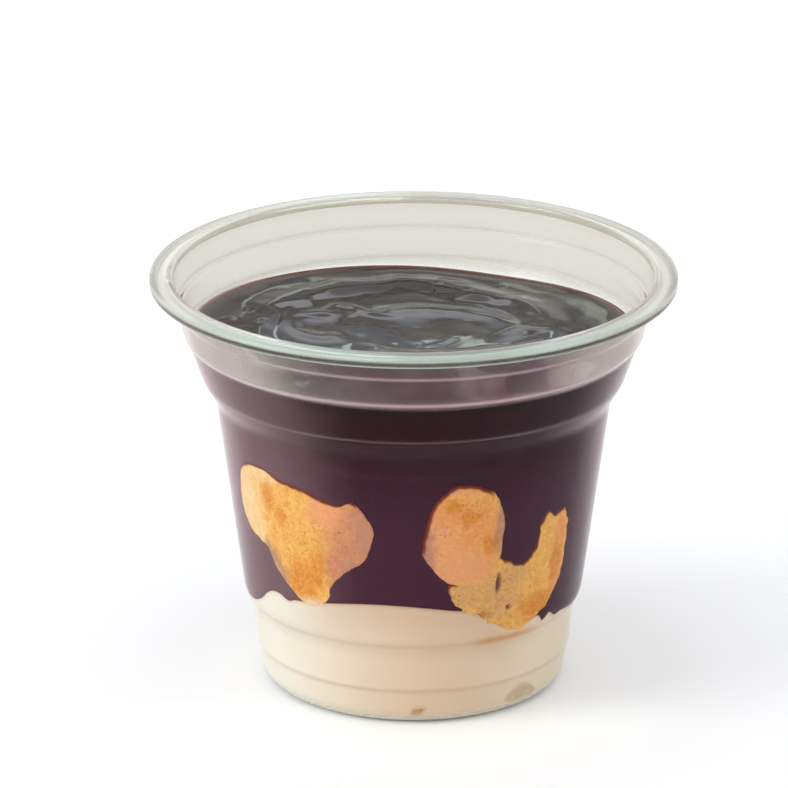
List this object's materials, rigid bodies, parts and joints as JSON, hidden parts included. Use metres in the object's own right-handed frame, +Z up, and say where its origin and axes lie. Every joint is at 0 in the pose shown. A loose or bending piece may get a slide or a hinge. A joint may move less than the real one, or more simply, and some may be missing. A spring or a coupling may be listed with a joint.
{
  "type": "profiteroles in clear cup",
  "caption": "Clear plastic dessert cup with a layer of vanilla cream, chocolate sauce poured in a swirl above it, and choux buns pressed against the wall.",
  "frame": {"origin": "middle of the foot ring, on the surface that the cup stands on", "axes": "+Z up through the mouth, -Y towards the front where the buns show, +X to the right seen from the front"},
  "size_m": [0.095, 0.095, 0.0769],
  "materials": {
    "clear_plastic": "clear, polished, thin",
    "vanilla_cream": "smooth, soft sheen",
    "chocolate_sauce": "wet, glossy",
    "choux": "baked crumb, fine pores",
    "choux_soaked": "soft, soaked crumb"
  },
  "bodies": {
    "root": {"cup": "clear_plastic", "vanilla_cream": "vanilla_cream", "chocolate_sauce": "chocolate_sauce", "profiterole_left": "choux", "profiterole_right": "choux", "profiterole_crescent": "choux", "choux_piece_front": "choux_soaked", "choux_piece_right": "choux_soaked"}
  },
  "joints": []
}
